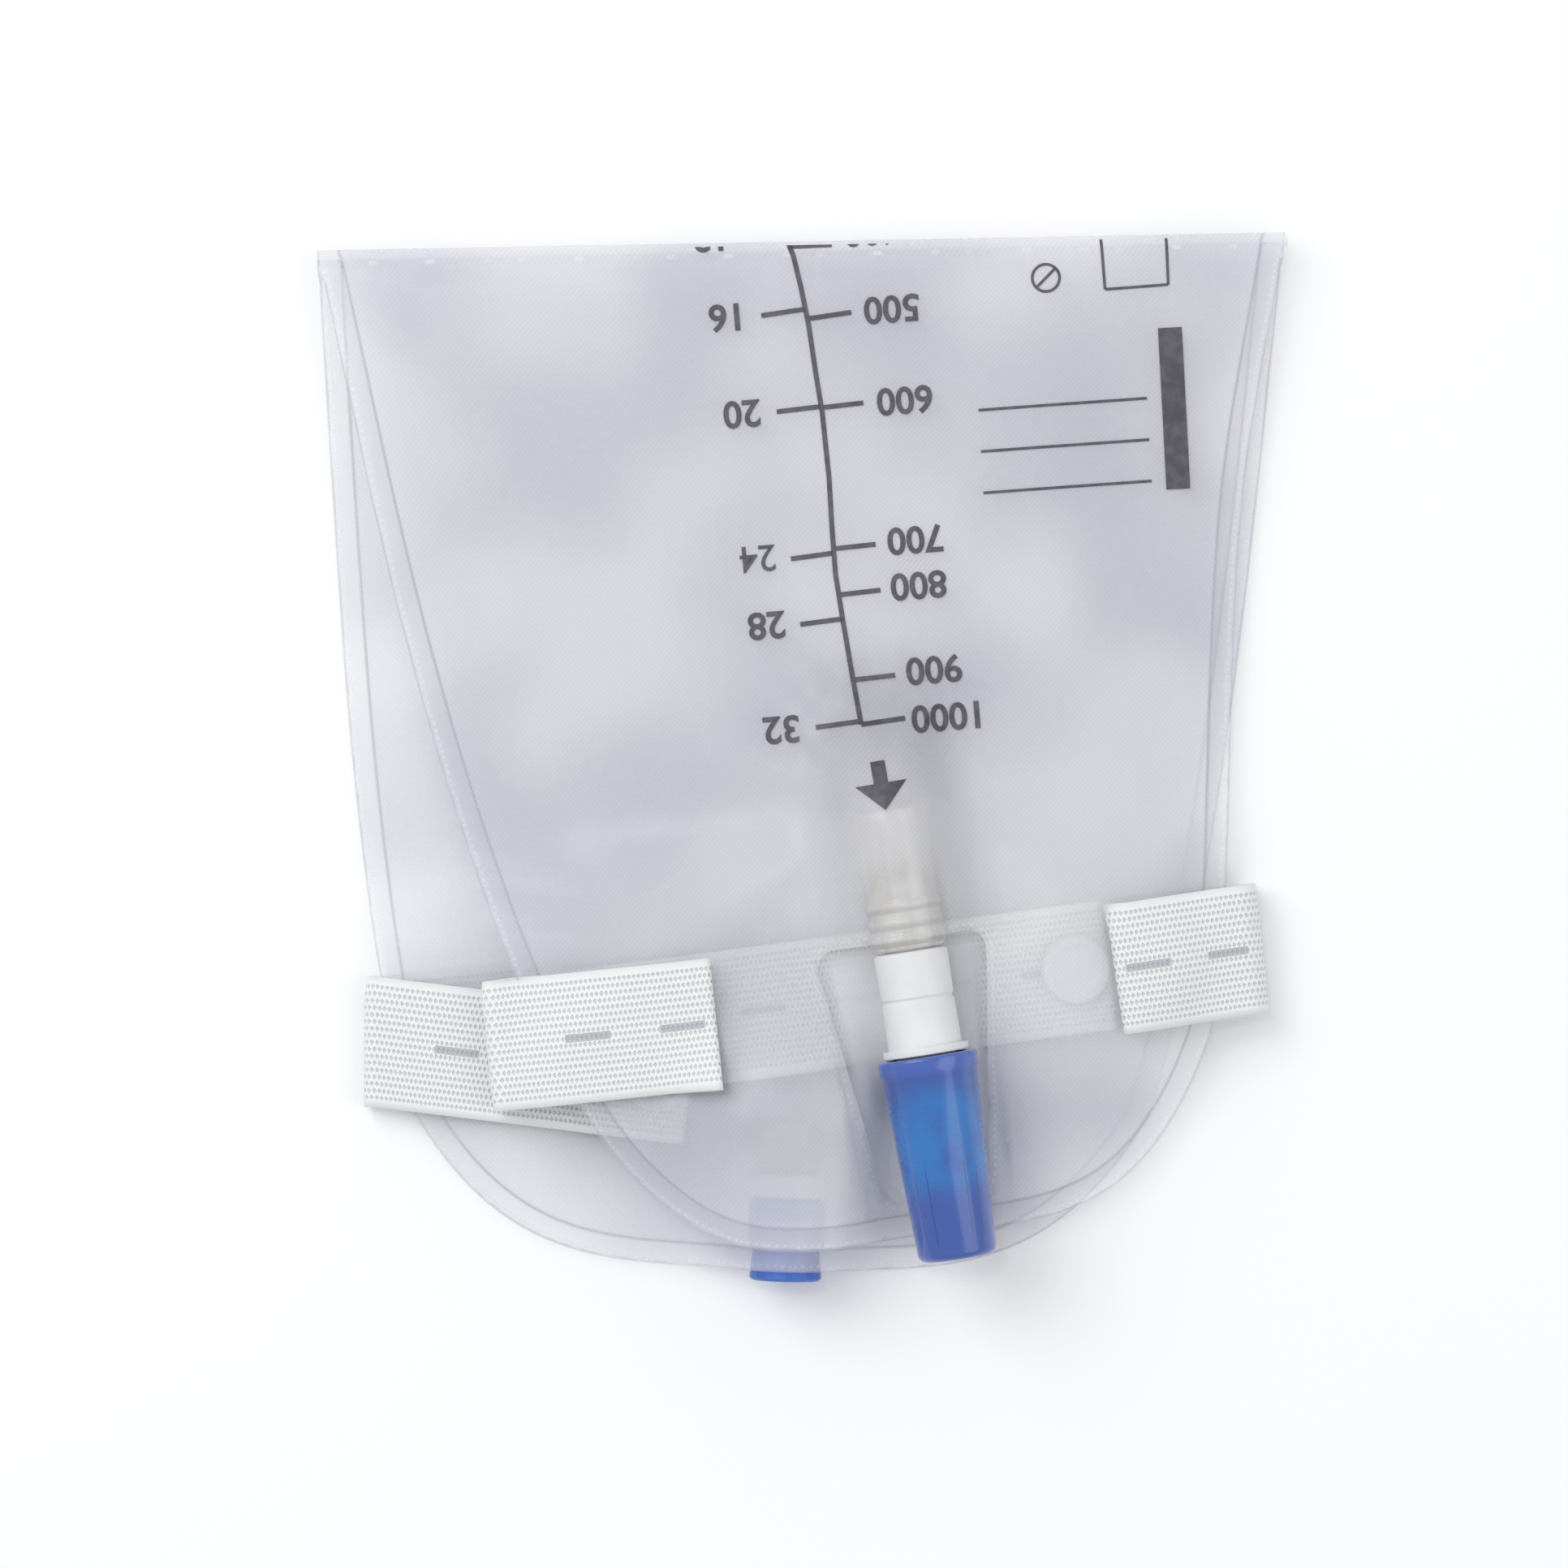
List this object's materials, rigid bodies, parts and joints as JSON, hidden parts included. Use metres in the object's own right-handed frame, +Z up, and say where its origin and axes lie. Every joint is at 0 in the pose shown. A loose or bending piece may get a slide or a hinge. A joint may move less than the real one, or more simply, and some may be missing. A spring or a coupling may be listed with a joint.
{
  "type": "urine drainage leg bag",
  "caption": "Flat vinyl urine leg bag folded once on a table, with a capped inlet connector at one end, a twist drain valve at the other and two woven elastic straps with buttons.",
  "frame": {"origin": "middle of the footprint, on the table the folded bag lies on", "axes": "+Z up off the table, +Y towards the bag's fold, +X to the right as seen from above"},
  "size_m": [0.1502, 0.162, 0.0215],
  "materials": {
    "printed_vinyl": "hazy clear vinyl with fine embossing and a grey scale print",
    "plain_vinyl": "hazy clear vinyl with fine embossing",
    "flap_vinyl": "thin clear vinyl",
    "clear_tube": "clear, slightly yellow soft tube",
    "white_plastic": "white moulded plastic",
    "blue_plastic": "blue, slightly translucent moulded plastic",
    "seal_rubber": "soft grey rubber",
    "webbing": "woven elastic with an open mesh"
  },
  "bodies": {
    "bag": {"printed_film": "printed_vinyl", "plain_film": "plain_vinyl", "anti_reflux_flap_back": "flap_vinyl", "anti_reflux_flap_front": "flap_vinyl", "inlet_port": "clear_tube", "inlet_connector": "white_plastic", "outlet_port": "clear_tube", "valve_body": "white_plastic", "valve_seal": "seal_rubber", "lower_strap": "webbing", "upper_strap": "webbing", "lower_strap_button": "white_plastic", "lower_strap_button_washer": "white_plastic", "upper_strap_button": "white_plastic", "upper_strap_button_washer": "white_plastic"},
    "cap": {"inlet_cap": "blue_plastic"},
    "nozzle": {"valve_nozzle": "blue_plastic"}
  },
  "joints": [
    {"name": "cap_pull", "type": "slide", "parent": "bag", "child": "cap", "axis": [0.1547, -0.988, 0], "range_m": [0, 0.035]},
    {"name": "valve_twist", "type": "hinge", "parent": "bag", "child": "nozzle", "pos_m": [-0.00258, -0.0809, 0.0064], "axis": [-0.0279, -0.9996, 0], "range_deg": [0, 90]}
  ]
}
